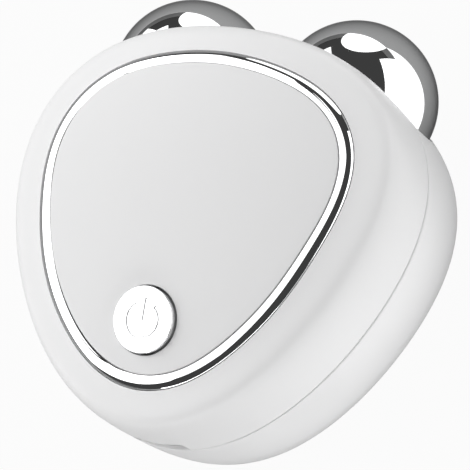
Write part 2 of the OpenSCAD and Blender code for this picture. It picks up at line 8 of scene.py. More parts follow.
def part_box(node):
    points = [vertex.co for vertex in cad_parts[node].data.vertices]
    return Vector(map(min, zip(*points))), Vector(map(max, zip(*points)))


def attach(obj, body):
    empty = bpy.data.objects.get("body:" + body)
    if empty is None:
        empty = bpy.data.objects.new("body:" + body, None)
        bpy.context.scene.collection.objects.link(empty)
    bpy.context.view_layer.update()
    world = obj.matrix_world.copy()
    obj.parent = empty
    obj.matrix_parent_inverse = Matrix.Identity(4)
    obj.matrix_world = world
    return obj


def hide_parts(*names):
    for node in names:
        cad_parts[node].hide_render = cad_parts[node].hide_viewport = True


# A hand-held facial toning device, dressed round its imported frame: smooth shells, trim ring,
# panel, button and balls. +Z is the way the domed front faces and +Y points to the balls.
# Sizes are in millimetres up to the place where a mesh is made, and in metres from there on.
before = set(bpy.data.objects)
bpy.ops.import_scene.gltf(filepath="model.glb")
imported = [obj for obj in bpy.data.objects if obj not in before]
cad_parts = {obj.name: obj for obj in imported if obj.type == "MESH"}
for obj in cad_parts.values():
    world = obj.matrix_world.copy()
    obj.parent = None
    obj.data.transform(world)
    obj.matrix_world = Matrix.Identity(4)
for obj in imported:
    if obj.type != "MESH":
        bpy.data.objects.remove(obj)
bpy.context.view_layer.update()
MM = 0.001


def node_box(node):
    """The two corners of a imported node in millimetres."""
    low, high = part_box(node)
    return low / MM, high / MM


# ---------------------------------------------------------------- sizes
# Most are the part's own. The trim ring's section, the shoulder beside it and the standby mark's
# width and depth are this script's.
# Outlines at the seam and at the trim ring: mean radius, and shares of 2, 3, 4 and 6 lobes
SEAM_OUTLINE = (28.3, 0.0, -1.81, -0.09, 0.10)
RING_OUTLINE = (22.65, 0.35, -1.72, -0.12, 0.19)
DOME_R = 80.0
WALL = 2.0
FLOOR_T = 2.4
REST_INSET = 5.8
PANEL_DROP = 0.15
PANEL_T = 1.2
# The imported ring's width, from which the screws and the button take their places
RING_W = 1.5
# The trim ring's arched section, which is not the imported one: its reach outside and inside the
# outline, its crest's place inside it, the fall from there to each edge, and the straight side
# under its outer edge
RING_OUT = 0.35
RING_IN = 1.46
RING_CREST = 0.48
RING_FALL_OUT = 0.33
RING_FALL_IN = 0.31
RING_SIDE = 0.1
# The shoulder beside the ring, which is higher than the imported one: how far it ends below the
# dome and outside the ring's outline, and its gap to the ring
RING_PROUD = 0.34
FOOT_FLARE = 0.58
RING_GAP = 0.09
# Control points of the walls' curves
BEND_FRONT = ((-0.08, 1.04), (0.10, 0.85))
BEND_REAR = ((0.05, 0.98), (0.70, 1.0))
BUTTON_R = 4.5
BUTTON_PROUD = 0.5
BUTTON_EDGE = 6.89
BUTTON_FIT = 0.08
BUTTON_GAP = 0.2
OPENING_DEPTH = 8
FLANGE_W = 0.9
FLANGE_T = 0.8
FLANGE_HOLE = 1.1
STEM_R = 1.6
CONTACT_GAP = 0.1
MARK_R = 2.4
MARK_W = 0.42
MARK_D = 0.16
MARK_GAP = math.radians(40)
STROKE_LOW = 0.15
STROKE_L = 2.6
SPLAY = math.radians(31)
SOCKET_GAP = 0.5
SOCKET_WALL = 1.2
BALL_WALL = 1.2
HUB_R = 4.5
BOSS_R = 4.4
AXLE_HOLE_R = 1.55
AXLE_HOLE_L = 24
SEAT_R = 3.3
SEAT_DEPTH = 1.2
SEAT_WALL = 1.7
WEB_W = 8.0
LIP_T = 1.0
LIP_H = 1.4
LIP_GAP = 0.1
POST_R = 2.3
POST_INSET = 2.65
SLEEVE_R = 3.0
SLEEVE_FLOOR = 1.2
SCREW_R = 1.0
SCREW_GAP = 0.2
SCREW_HEAD = (2.1, 1.3)
SCREW_ANGLES = (88, 142, 218, 272)
PORT_W = 7.8
PORT_H = 3.0
PORT_CORNER = 1.0
NOTCH_ENDS = (-60, -14)
# How far a cutter runs past a face, and how far a joined piece sinks into its wall
PAST = 1
OVERLAP = 0.5

# Small rounds that a moulding, a plated ring and a turned ball have at their edges
SEAM_ROUND = 0.25
SEAM_GAP = 0.15
SEAM_DEEP = 0.5
RECESS_ROUND = 0.08
PANEL_ROUND = 0.12
PANEL_GAP = 0.09
BUTTON_ROUND = 0.12
HOLE_SINK = 0.13

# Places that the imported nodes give
SEAM_Z = node_box("front_shell")[0].z
DOME_TOP = node_box("front_panel")[1].z + PANEL_DROP
BED_DROP = PANEL_DROP + PANEL_T
ROOF_DROP = BED_DROP + WALL
BALL_BOX = {side: node_box(side + "_ball") for side in ("left", "right")}
BALL_MIDDLE = {side: (low + high) / 2 for side, (low, high) in BALL_BOX.items()}
BALL_R = (BALL_BOX["left"][1].z - BALL_BOX["left"][0].z) / 2
SOCKET_R = BALL_R + SOCKET_GAP
BOARD_TOP = node_box("circuit_board")[1].z
BOARD_UNDER = node_box("circuit_board")[0].z
SCREW_LOW, SCREW_TOP = (corner.z for corner in node_box("shell_screws"))
SCREW_SEAT = SCREW_TOP - SCREW_HEAD[1]

# Steps of the smooth meshes
SIDES = 288
WALL_STEPS = 56
HOLLOW_STEPS = 24
PANEL_RINGS = 24
ROUND_STEPS = 5
GROOVE_SIDES = 24
GROOVE_END_STEPS = 6
CIRCLE_STEPS = 72
STROKE_STEPS = 4
BALL_STEPS = 96
# Shares of an outline for the rings that close a face
CAP_SHARES = (0.75, 0.5, 0.25)
# The share of a wall's curve that the round at the seam takes up
WALL_START = 0.007
ANGLES = [2 * math.pi * i / SIDES for i in range(SIDES)]


# ---------------------------------------------------------------- curves
def lobed(outline, a, add=0.0):
    """Radius of an outline at an angle from +Y."""
    mean, two, three, four, six = outline
    return (mean + add + two * math.cos(2 * a) + three * math.cos(3 * a)
            + four * math.cos(4 * a) + six * math.cos(6 * a))


def dome_z(r, drop=0.0):
    """Height of the dome, or of a surface that lies under it by a drop."""
    return DOME_TOP - DOME_R + math.sqrt((DOME_R - drop) ** 2 - r * r)


def bend(t, points):
    """A curve from (0, 0) to (1, 1) with two control points."""
    (ax, ay), (bx, by) = points
    p, q, r = 3 * (1 - t) ** 2 * t, 3 * (1 - t) * t * t, t ** 3
    return p * ax + q * bx + r, p * ay + q * by + r


def polar(r, a, z):
    return Vector((r * math.sin(a), r * math.cos(a), z))


BUTTON_Y = lobed(RING_OUTLINE, math.pi, -RING_W) - BUTTON_EDGE
BUTTON_TILT = math.asin(BUTTON_Y / DOME_R)
BUTTON_FRAME = (Matrix.Translation((0, -BUTTON_Y, dome_z(BUTTON_Y)))
                @ Matrix.Rotation(BUTTON_TILT, 4, "X"))


def ball_frame(side):
    """The frame of one ball: its z runs outwards along the axle from the ball's middle."""
    turn = -SPLAY if side == "right" else SPLAY
    return (Matrix.Translation(BALL_MIDDLE[side]) @ Matrix.Rotation(turn, 4, "Z")
            @ Matrix.Rotation(-math.pi / 2, 4, "X"))


def quarter(radius, steps=ROUND_STEPS):
    """Pairs (across, up) along a quarter round, from (0, radius) to (radius, 0)."""
    turns = [math.pi / 2 * i / steps for i in range(steps + 1)]
    return [(radius * math.sin(w), radius * math.cos(w)) for w in turns]


# ---------------------------------------------------------------- meshes
def new_piece(name, bm):
    """A linked object from a bmesh in millimetres."""
    bmesh.ops.recalc_face_normals(bm, faces=bm.faces)
    mesh = bpy.data.meshes.new(name)
    bm.to_mesh(mesh)
    bm.free()
    mesh.transform(Matrix.Scale(MM, 4))
    piece = bpy.data.objects.new(name, mesh)
    bpy.context.scene.collection.objects.link(piece)
    return piece


def loft(name, levels, peak=None, looped=False):
    """A closed skin through equal rings of points. It ends in a peak, a flat face or its start."""
    bm = bmesh.new()
    rings = [[bm.verts.new(p) for p in level] for level in levels]
    pairs = list(zip(rings, rings[1:])) + ([(rings[-1], rings[0])] if looped else [])
    for low, high in pairs:
        for i in range(len(low)):
            j = (i + 1) % len(low)
            bm.faces.new((low[i], low[j], high[j], high[i]))
    if not looped:
        bm.faces.new(rings[0][::-1])
        if peak is None:
            bm.faces.new(rings[-1])
        else:
            top = bm.verts.new(peak)
            last = rings[-1]
            for i in range(len(last)):
                bm.faces.new((last[i], last[(i + 1) % len(last)], top))
    return new_piece(name, bm)


def turned(name, profile, place, sides=128):
    """A solid turned about z from a closed run of (radius, height) pairs, then placed."""
    bm = bmesh.new()
    rings = []
    for r, z in profile:
        if r < 1e-6:
            rings.append([bm.verts.new(place @ Vector((0, 0, z)))])
        else:
            rings.append([bm.verts.new(place @ Vector((r * math.cos(w), r * math.sin(w), z)))
                          for w in (2 * math.pi * i / sides for i in range(sides))])
    for low, high in zip(rings, rings[1:] + rings[:1]):
        if len(low) == 1 and len(high) == 1:
            continue
        for i in range(sides):
            j = (i + 1) % sides
            corners = {1: (low[0],)}.get(len(low), (low[i % len(low)], low[j % len(low)]))
            corners += {1: (high[0],)}.get(len(high), (high[j % len(high)], high[i % len(high)]))
            bm.faces.new(corners)
    return new_piece(name, bm)


def rod(radius, low, high, place=Matrix.Identity(4), sides=96):
    """A cutter or a post along the z of its place."""
    return turned("rod", [(0, low), (radius, low), (radius, high), (0, high)], place, sides)


def ball_cutter(middle, radius):
    bm = bmesh.new()
    bmesh.ops.create_uvsphere(bm, u_segments=160, v_segments=80, radius=radius)
    bmesh.ops.translate(bm, verts=bm.verts, vec=middle)
    return new_piece("sphere", bm)


def block(low, high):
    bm = bmesh.new()
    bmesh.ops.create_cube(bm, size=1)
    size = Vector(high) - Vector(low)
    middle = (Vector(high) + Vector(low)) / 2
    bmesh.ops.transform(bm, verts=bm.verts,
                        matrix=Matrix.Translation(middle) @ Matrix.Diagonal((*size, 1)))
    return new_piece("block", bm)


def combine(piece, others, operation):
    """Adds the others to the piece, or cuts them out of it, one after another, and deletes them."""
    for other in others:
        step = piece.modifiers.new("step", "BOOLEAN")
        step.operation = operation
        step.solver = "MANIFOLD"
        step.object = other
        bpy.context.view_layer.update()
        made = bpy.data.meshes.new_from_object(
            piece.evaluated_get(bpy.context.evaluated_depsgraph_get()))
        piece.modifiers.clear()
        old = piece.data
        piece.data = made
        bpy.data.meshes.remove(old)
        bpy.data.objects.remove(other)
    return piece


def cut(piece, *others):
    return combine(piece, others, "DIFFERENCE")


def join(piece, *others):
    return combine(piece, others, "UNION")


def smooth(piece, sharp_deg=32):
    """Smooth shading that breaks at real edges, with large faces setting the tone at small ones."""
    piece.data.shade_smooth()
    piece.data.set_sharp_from_angle(angle=math.radians(sharp_deg))
    weigh = piece.modifiers.new("weigh", "WEIGHTED_NORMAL")
    weigh.keep_sharp = True
    return piece


# ---------------------------------------------------------------- shells
def front_wall(t, seam_in=0.0, foot_in=0.0, drop=RING_PROUD):
    """A ring of points on the front's wall: t is 0 at the seam and 1 at the trim ring's foot."""
    across, up = bend(t, BEND_FRONT)
    points = []
    for a in ANGLES:
        low = lobed(SEAM_OUTLINE, a, -seam_in)
        high = lobed(RING_OUTLINE, a, FOOT_FLARE - foot_in)
        top = dome_z(high, drop)
        points.append(polar(low + (high - low) * across, a, SEAM_Z + (top - SEAM_Z) * up))
    return points


def rear_wall(t, inset=0.0, floor_z=0.0):
    """A ring of points on the rear's wall: t is 0 at the seam and 1 at the flat rest face."""
    across, up = bend(t, BEND_REAR)
    return [polar(lobed(SEAM_OUTLINE, a, -inset - REST_INSET * across), a,
                  SEAM_Z - (SEAM_Z - floor_z) * up) for a in ANGLES]


def rest_ring(share):
    """A ring inside the flat rest face, so that its rim shades evenly."""
    return [polar(share * lobed(SEAM_OUTLINE, a, -REST_INSET), a, 0) for a in ANGLES]


def seam_edge(up):
    """A shell's edge on the seam, from the inside out: a step back, then a small round.
    up is 1 above the seam and -1 below it."""
    steps = [(-SEAM_DEEP, 0), (-SEAM_DEEP, SEAM_GAP), (-SEAM_ROUND * 1.5, SEAM_GAP)]
    steps += [(across - SEAM_ROUND, SEAM_GAP + SEAM_ROUND - along)
              for across, along in quarter(SEAM_ROUND)]
    return [[polar(lobed(SEAM_OUTLINE, a, inwards), a, SEAM_Z + up * rise) for a in ANGLES]
            for inwards, rise in steps]


def dome_cap(share, add, drop):
    """A ring of points on a share of the trim ring's outline, at a drop below the dome."""
    points = []
    for a in ANGLES:
        r = share * lobed(RING_OUTLINE, a, add)
        points.append(polar(r, a, dome_z(r, drop)))
    return points


def under_dome(add, drop):
    return dome_cap(1, add, drop)


def wall_steps(first, steps):
    return [first + (1 - first) * i / steps for i in range(steps + 1)]


def socket_cutters(extra=0.0):
    return [ball_cutter(BALL_MIDDLE[side], SOCKET_R + extra) for side in ("left", "right")]


def socket_web():
    """The web that joins the two socket walls on the middle line."""
    y = BALL_MIDDLE["left"].y - WEB_W
    return block((-WEB_W / 2, y, -PAST), (WEB_W / 2, y + SEAM_OUTLINE[0], DOME_TOP))


def axle_bosses(extra=0.0):
    seat = -(SOCKET_R + SEAT_DEPTH)
    return [rod(BOSS_R + extra, seat - SEAT_WALL, -SOCKET_R + PAST, ball_frame(side))
            for side in ("left", "right")]


def port_notch():
    """The notch over the charging socket, with rounded corners, open at the seam."""
    bm = bmesh.new()
    half, high = PORT_W / 2 - PORT_CORNER, SEAM_Z + PORT_H - PORT_CORNER
    outline = [(-PORT_W / 2, SEAM_Z - PAST), (PORT_W / 2, SEAM_Z - PAST)]
    outline += [(half + x, high + z) for z, x in quarter(PORT_CORNER, 10)]
    outline += [(-half - x, high + z) for x, z in quarter(PORT_CORNER, 10)]
    ends = [[bm.verts.new((x, y, z)) for x, z in outline] for y in NOTCH_ENDS]
    for i in range(len(outline)):
        j = (i + 1) % len(outline)
        bm.faces.new((ends[0][i], ends[0][j], ends[1][j], ends[1][i]))
    bm.faces.new(ends[0])
    bm.faces.new(ends[1])
    return new_piece("notch", bm)


def at_screws(*rods):
    """Rods, each a (radius, low, high), on every screw's axis."""
    made = []
    for a in map(math.radians, SCREW_ANGLES):
        axis = Matrix.Translation(polar(lobed(RING_OUTLINE, a, -RING_W - POST_INSET), a, 0))
        made += [rod(radius, low, high, axis, 48) for radius, low, high in rods]
    return made


def front_shell():
    foot = [p - Vector((0, 0, PAST)) for p in front_wall(0, WALL, WALL, ROOF_DROP)]
    hollow = loft("hollow", [foot]
                  + [front_wall(t, WALL, WALL, ROOF_DROP) for t in wall_steps(0, HOLLOW_STEPS)]
                  + [dome_cap(s, FOOT_FLARE - WALL, ROOF_DROP) for s in CAP_SHARES],
                  peak=(0, 0, DOME_TOP - ROOF_DROP))
    cut(hollow, *socket_cutters(SOCKET_WALL), socket_web())
    recess = RING_OUT + RING_GAP
    shell = loft("front_shell_skin", seam_edge(1)
                 + [front_wall(t) for t in wall_steps(WALL_START, WALL_STEPS)]
                 + [under_dome(recess + RECESS_ROUND - across, RING_PROUD + RECESS_ROUND - up)
                    for across, up in quarter(RECESS_ROUND)]
                 + [under_dome(recess, drop) for drop in (BED_DROP - 0.1, BED_DROP)]
                 + [dome_cap(s, recess, BED_DROP) for s in CAP_SHARES],
                 peak=(0, 0, DOME_TOP - BED_DROP))
    cut(shell, hollow)
    under_panel = dome_z(RING_OUTLINE[0], BED_DROP) - OVERLAP
    join(shell, *at_screws((POST_R, BOARD_TOP, SCREW_SEAT),
                           (SLEEVE_R, SCREW_SEAT - SLEEVE_FLOOR, under_panel)))
    cut(shell, *at_screws((SCREW_R + SCREW_GAP, SEAM_Z, DOME_TOP),
                          (SCREW_HEAD[0], SCREW_SEAT, DOME_TOP)),
        *socket_cutters(), *axle_bosses(LIP_GAP),
        rod(BUTTON_R + BUTTON_FIT, -OPENING_DEPTH, PAST, BUTTON_FRAME),
        rod(BUTTON_R + FLANGE_HOLE, -OPENING_DEPTH, -ROOF_DROP, BUTTON_FRAME), port_notch())
    return smooth(shell)


def lip():
    """The rear shell's lip inside the seam, open at the ball sockets, their web and the port."""
    outer, inner = -WALL - LIP_GAP, -WALL - LIP_GAP - LIP_T
    low, high, joined = SEAM_Z - WALL, SEAM_Z + LIP_H, OVERLAP - WALL
    section = [(inner, low), (joined, low), (joined, SEAM_Z),
               (outer, SEAM_Z), (outer, high), (inner, high)]
    ring = loft("lip", [[polar(lobed(SEAM_OUTLINE, a, inwards), a, z) for a in ANGLES]
                        for inwards, z in section], looped=True)
    half_web, half_port = WEB_W / 2 + LIP_GAP, PORT_W / 2 + LIP_GAP
    web_y = BALL_MIDDLE["left"].y - WEB_W - LIP_GAP
    return cut(ring, *socket_cutters(SOCKET_WALL + LIP_GAP),
               block((-half_web, web_y, SEAM_Z), (half_web, web_y + 30, DOME_TOP)),
               block((-half_port, -40, SEAM_Z), (half_port, -10, DOME_TOP)))


def rear_shell():
    rim = [p + Vector((0, 0, PAST)) for p in rear_wall(0, WALL, FLOOR_T)]
    steps = reversed(wall_steps(0, HOLLOW_STEPS))
    hollow = loft("hollow", [rear_wall(t, WALL, FLOOR_T) for t in steps] + [rim])
    cut(hollow, *socket_cutters(SOCKET_WALL), socket_web())
    shell = loft("rear_shell_skin", [rest_ring(0.9)]
                 + [rear_wall(t) for t in reversed(wall_steps(WALL_START, WALL_STEPS))]
                 + seam_edge(-1)[::-1])
    cut(shell, hollow)
    join(shell, lip(), *axle_bosses(), *at_screws((POST_R, FLOOR_T - OVERLAP, BOARD_UNDER)))
    holes = [rod(AXLE_HOLE_R, -AXLE_HOLE_L, 0, ball_frame(side)) for side in ("left", "right")]
    seats = [rod(SEAT_R, -(SOCKET_R + SEAT_DEPTH), 0, ball_frame(side))
             for side in ("left", "right")]
    cut(shell, *socket_cutters(), *holes, *seats, *at_screws((SCREW_R, SCREW_LOW - PAST, SEAM_Z)))
    return smooth(shell)


# ---------------------------------------------------------------- trim ring, panel and button
def arc(run, fall, steps):
    """Pairs (across, down) along an arc that starts level and ends at (run, fall)."""
    turn = 2 * math.atan2(fall, run)
    radius = run / math.sin(turn)
    return [(radius * math.sin(turn * i / steps), radius * (1 - math.cos(turn * i / steps)))
            for i in range(steps + 1)]


def ring_section():
    """(add, drop) pairs: up the ring's outer side, over its crest and down its inner side."""
    outer = arc(RING_OUT + RING_CREST, RING_FALL_OUT, 14)
    inner = arc(RING_IN - RING_CREST, RING_FALL_IN, 8)
    return ([(RING_OUT, BED_DROP), (RING_OUT, RING_FALL_OUT + RING_SIDE)]
            + [(across - RING_CREST, drop) for across, drop in reversed(outer)]
            + [(-RING_CREST - across, drop) for across, drop in inner[1:]] + [(-RING_IN, BED_DROP)])


def ring_piece():
    levels = [under_dome(add, drop) for add, drop in ring_section()]
    return smooth(loft("trim_ring_plated", levels, looped=True), 45)


def panel_piece():
    edge = -RING_IN - PANEL_GAP
    sides = [under_dome(edge, BED_DROP), under_dome(edge, PANEL_DROP + PANEL_ROUND + 0.3)]
    rounds = [under_dome(edge - PANEL_ROUND + across, PANEL_DROP + PANEL_ROUND - up)
              for up, across in quarter(PANEL_ROUND)]
    shares = [1 - i / PANEL_RINGS for i in range(1, PANEL_RINGS)]
    caps = [dome_cap(s, edge - PANEL_ROUND, PANEL_DROP) for s in shares]
    under = [dome_cap(s, edge, BED_DROP) for s in (0.2, 0.4, 0.6, 0.8)]
    panel = loft("front_panel_skin", under + sides + rounds + caps,
                 peak=(0, 0, DOME_TOP - PANEL_DROP))
    hole = BUTTON_R + BUTTON_GAP
    flare = [(hole + PANEL_ROUND - across, -PANEL_DROP - HOLE_SINK - PANEL_ROUND + up)
             for across, up in quarter(PANEL_ROUND)][::-1]
    cutter = turned("cutter", [(0, -4), (hole, -4)] + flare + [(hole + PANEL_ROUND, 2), (0, 2)],
                    BUTTON_FRAME)
    return smooth(cut(panel, cutter))


def groove(points):
    """A cutter for a round-bottomed groove with round ends, along points in the button's frame."""
    tube = (MARK_W ** 2 / 4 + MARK_D ** 2) / (2 * MARK_D)
    lift = BUTTON_PROUD + tube - MARK_D
    ahead = [(b - a).normalized() for a, b in zip(points, points[1:])]
    ahead = [ahead[0]] + [(a + b).normalized() for a, b in zip(ahead, ahead[1:])] + [ahead[-1]]
    turns = [math.pi / 2 * i / GROOVE_END_STEPS for i in range(1, GROOVE_END_STEPS + 1)]
    stations = [(points[0] - ahead[0] * tube * math.cos(w), ahead[0], math.sin(w))
                for w in turns[:-1]]
    stations += [(p, way, 1) for p, way in zip(points, ahead)]
    stations += [(points[-1] + ahead[-1] * tube * math.cos(w), ahead[-1], math.sin(w))
                 for w in turns[-2::-1]]
    levels = []
    for middle, way, share in stations:
        side = Vector((-way.y, way.x))
        levels.append([BUTTON_FRAME @ Vector((*(middle + side * tube * share * math.cos(w)),
                                              lift + tube * share * math.sin(w)))
                       for w in (2 * math.pi * i / GROOVE_SIDES for i in range(GROOVE_SIDES))])
    return loft("groove", levels)


def mark_cutters():
    """The standby mark: an open circle, and a stroke in its gap."""
    turns = [math.pi / 2 + MARK_GAP + (2 * math.pi - 2 * MARK_GAP) * i / CIRCLE_STEPS
             for i in range(CIRCLE_STEPS + 1)]
    circle = [MARK_R * Vector((math.cos(w), math.sin(w))) for w in turns]
    stroke = [Vector((0, STROKE_LOW + STROKE_L * i / STROKE_STEPS))
              for i in range(STROKE_STEPS + 1)]
    return [groove(circle), groove(stroke)]


def button_piece():
    flange_z = -ROOF_DROP
    plunger_top = node_box("switch_plunger")[1].z
    stem_l = (dome_z(BUTTON_Y) - plunger_top - CONTACT_GAP - STEM_R) / math.cos(BUTTON_TILT)
    rim = [(BUTTON_R - BUTTON_ROUND + across, BUTTON_PROUD - BUTTON_ROUND + up)
           for across, up in quarter(BUTTON_ROUND, 8)]
    tip = [(STEM_R * math.sin(w), -stem_l - STEM_R * math.cos(w))
           for w in (math.pi / 2 * i / 8 for i in range(9))]
    profile = tip + [(STEM_R, flange_z - FLANGE_T), (BUTTON_R + FLANGE_W, flange_z - FLANGE_T),
                     (BUTTON_R + FLANGE_W, flange_z), (BUTTON_R, flange_z), (BUTTON_R, -1)]
    profile += rim[::-1] + [(BUTTON_R * s, BUTTON_PROUD) for s in CAP_SHARES]
    profile += [(0, BUTTON_PROUD)]
    cap = turned("power_button_cap", profile, BUTTON_FRAME)
    return smooth(cut(cap, *mark_cutters()), 40)


def ball_piece(side):
    """One hollow ball: a polished outside, a wall and a round opening for its hub."""
    inside = BALL_R - BALL_WALL
    start = math.pi - math.asin(HUB_R / BALL_R)
    outer = [(BALL_R * math.sin(w), BALL_R * math.cos(w))
             for w in (start * i / BALL_STEPS for i in range(BALL_STEPS + 1))]
    end = math.pi - math.asin(HUB_R / inside)
    inner = [(inside * math.sin(w), inside * math.cos(w))
             for w in (end * (BALL_STEPS - i) / BALL_STEPS for i in range(BALL_STEPS + 1))]
    outer[0] = (0, BALL_R)
    inner[-1] = (0, inside)
    ball = turned(side + "_ball_polished", outer + inner, ball_frame(side), 192)
    return smooth(ball, 60)


# ---------------------------------------------------------------- materials
def link(tree, start, end):
    tree.links.new(start, end)


def add(tree, kind, **settings):
    """A shader node with its settings, and its inputs by name."""
    node = tree.nodes.new(kind)
    inputs = settings.pop("inputs", {})
    for key, value in settings.items():
        setattr(node, key, value)
    for key, value in inputs.items():
        node.inputs[key].default_value = value
    return node


def noise(tree, place, scale, detail=2.0, stretch=None):
    """Noise in the piece's own space. The scale is in features per metre."""
    start = place
    if stretch:
        squeeze = add(tree, "ShaderNodeMapping")
        squeeze.inputs["Scale"].default_value = stretch
        link(tree, place, squeeze.inputs["Vector"])
        start = squeeze.outputs["Vector"]
    node = add(tree, "ShaderNodeTexNoise", inputs={"Scale": scale, "Detail": detail})
    link(tree, start, node.inputs["Vector"])
    return node.outputs["Fac"]


def spread(tree, value, low, high):
    """The middle half of a noise, spread over a range."""
    node = add(tree, "ShaderNodeMapRange", inputs={
        "From Min": 0.3, "From Max": 0.7, "To Min": low, "To Max": high})
    link(tree, value, node.inputs["Value"])
    return node.outputs["Result"]


# Where the lines between a pattern's cells begin and end, as distances from a cell's middle
PATTERN_EDGE = (0.42, 0.46)


def surface(name, colour, roughness, metallic=0.0, shade=0.03, vary=0.04, cloud=60.0, fine=9000.0,
            depth=0.0, stretch=None, coat=0.0, edge=None, pattern=None):
    """A material whose colour and gloss drift a little over a fine grain. Depth is in millimetres,
    edge darkens a metal at glancing angles, and pattern gives a second colour and its scale."""
    mat = bpy.data.materials.new(name)
    mat.use_nodes = True
    tree = mat.node_tree
    shader = tree.nodes["Principled BSDF"]
    shader.inputs["Metallic"].default_value = metallic
    shader.inputs["Coat Weight"].default_value = coat
    if edge is not None:
        shader.inputs["Specular Tint"].default_value = (edge, edge, edge, 1)
    place = add(tree, "ShaderNodeTexCoord").outputs["Object"]
    drift = noise(tree, place, cloud, 3.0)
    mix = add(tree, "ShaderNodeMix", data_type="RGBA")
    mix.inputs["A"].default_value = (*(c * (1 - shade) for c in colour), 1)
    mix.inputs["B"].default_value = (*(min(1, c * (1 + shade)) for c in colour), 1)
    link(tree, drift, mix.inputs["Factor"])
    base = mix.outputs["Result"]
    grain = noise(tree, place, fine, 2.0, stretch)
    if pattern:
        second, scale = pattern
        cells = add(tree, "ShaderNodeTexVoronoi", distance="CHEBYCHEV", feature="F1",
                    inputs={"Scale": scale, "Randomness": 0.6})
        link(tree, place, cells.inputs["Vector"])
        lines = add(tree, "ShaderNodeMapRange", inputs={
            "From Min": PATTERN_EDGE[0], "From Max": PATTERN_EDGE[1]})
        link(tree, cells.outputs["Distance"], lines.inputs["Value"])
        over = add(tree, "ShaderNodeMix", data_type="RGBA")
        over.inputs["B"].default_value = (*second, 1)
        link(tree, base, over.inputs["A"])
        link(tree, lines.outputs["Result"], over.inputs["Factor"])
        base = over.outputs["Result"]
        grain = lines.outputs["Result"]
    link(tree, base, shader.inputs["Base Color"])
    link(tree, spread(tree, noise(tree, place, cloud * 12, 4.0, stretch),
                      roughness - vary, roughness + vary), shader.inputs["Roughness"])
    if depth:
        bump = add(tree, "ShaderNodeBump", inputs={"Strength": 1.0, "Distance": depth * MM})
        link(tree, grain, bump.inputs["Height"])
        link(tree, bump.outputs["Normal"], shader.inputs["Normal"])
    return mat


# ---------------------------------------------------------------- stage
WHITE = (1.0, 1.0, 1.0, 1.0)


def stage_white(name, shown, mirrored, lit):
    """Plain white: a share of it glows evenly where it is seen, and the rest keeps the shadow."""
    mat = bpy.data.materials.new(name)
    mat.use_nodes = True
    tree = mat.node_tree
    tree.nodes.remove(tree.nodes["Principled BSDF"])
    matte = add(tree, "ShaderNodeBsdfDiffuse", inputs={"Color": (lit, lit, lit, 1)})
    glow = add(tree, "ShaderNodeEmission", inputs={"Color": WHITE, "Strength": 1.0})
    path = add(tree, "ShaderNodeLightPath")
    total = None
    for ray, share in (("Is Camera Ray", shown), ("Is Glossy Ray", mirrored),
                       ("Is Transmission Ray", mirrored)):
        part = add(tree, "ShaderNodeMath", operation="MULTIPLY")
        part.inputs[1].default_value = share
        link(tree, path.outputs[ray], part.inputs[0])
        if total is not None:
            both = add(tree, "ShaderNodeMath", operation="ADD", use_clamp=True)
            link(tree, total, both.inputs[0])
            link(tree, part.outputs["Value"], both.inputs[1])
            part = both
        total = part.outputs["Value"]
    mix = add(tree, "ShaderNodeMixShader")
    link(tree, total, mix.inputs["Fac"])
    link(tree, matte.outputs["BSDF"], mix.inputs[1])
    link(tree, glow.outputs["Emission"], mix.inputs[2])
    link(tree, mix.outputs["Shader"], tree.nodes["Material Output"].inputs["Surface"])
    return mat


# The stage in metres, and how much of its white glows in mirrors and how pale its matte part is
FLOOR_FACE_R = 0.3
STAGE_R = 3.0
BACKDROP_H = 0.45
STAGE_SIDES = 96
STAGE_MIRRORED = 0.08
STAGE_LIT = 0.35


def stage():
    """A round pale floor, and a low backdrop round it."""
    def rounds(name, rings, mat):
        bm = bmesh.new()
        loops = [[bm.verts.new((r * math.cos(w), r * math.sin(w), z))
                  for w in (2 * math.pi * i / STAGE_SIDES for i in range(STAGE_SIDES))]
                 for r, z in rings]
        for low, high in zip(loops, loops[1:]):
            for i in range(STAGE_SIDES):
                j = (i + 1) % STAGE_SIDES
                bm.faces.new((low[i], low[j], high[j], high[i]))
        if rings[0][1] == rings[1][1]:
            bm.faces.new(loops[0])
        mesh = bpy.data.meshes.new(name)
        bm.to_mesh(mesh)
        bm.free()
        mesh.materials.append(mat)
        piece = bpy.data.objects.new(name, mesh)
        bpy.context.scene.collection.objects.link(piece)

    rounds("floor", [(FLOOR_FACE_R, 0), (STAGE_R, 0)],
           stage_white("floor white", 0.955, STAGE_MIRRORED, STAGE_LIT))
    rounds("backdrop", [(STAGE_R, 0), (STAGE_R, BACKDROP_H)],
           stage_white("backdrop white", 0.96, STAGE_MIRRORED, STAGE_LIT))


FLOOR_LAMP_Z = 0.0005
WORLD_GREY = 0.05


def towards(azimuth, elevation):
    """A direction by its angle from +Y, clockwise from above, and its height over the floor."""
    a, e = math.radians(azimuth), math.radians(elevation)
    return Vector((math.sin(a) * math.cos(e), math.cos(a) * math.cos(e), math.sin(e)))


def lamp(name, azimuth, elevation, distance, size, radiance, shape="RECTANGLE", mirrored=True):
    """A soft lamp that faces the device. Its radiance is what a mirror would show of it."""
    light = bpy.data.lights.new(name, "AREA")
    light.shape = shape
    light.size, light.size_y = size
    area = size[0] * size[1] * (math.pi / 4 if shape == "ELLIPSE" else 1)
    light.energy = radiance * area * math.pi
    holder = bpy.data.objects.new(name, light)
    way = towards(azimuth, elevation)
    holder.location = way * distance
    holder.rotation_mode = "QUATERNION"
    holder.rotation_quaternion = way.to_track_quat("Z", "Y")
    holder.visible_camera = False
    holder.visible_glossy = mirrored
    bpy.context.scene.collection.objects.link(holder)
    return holder


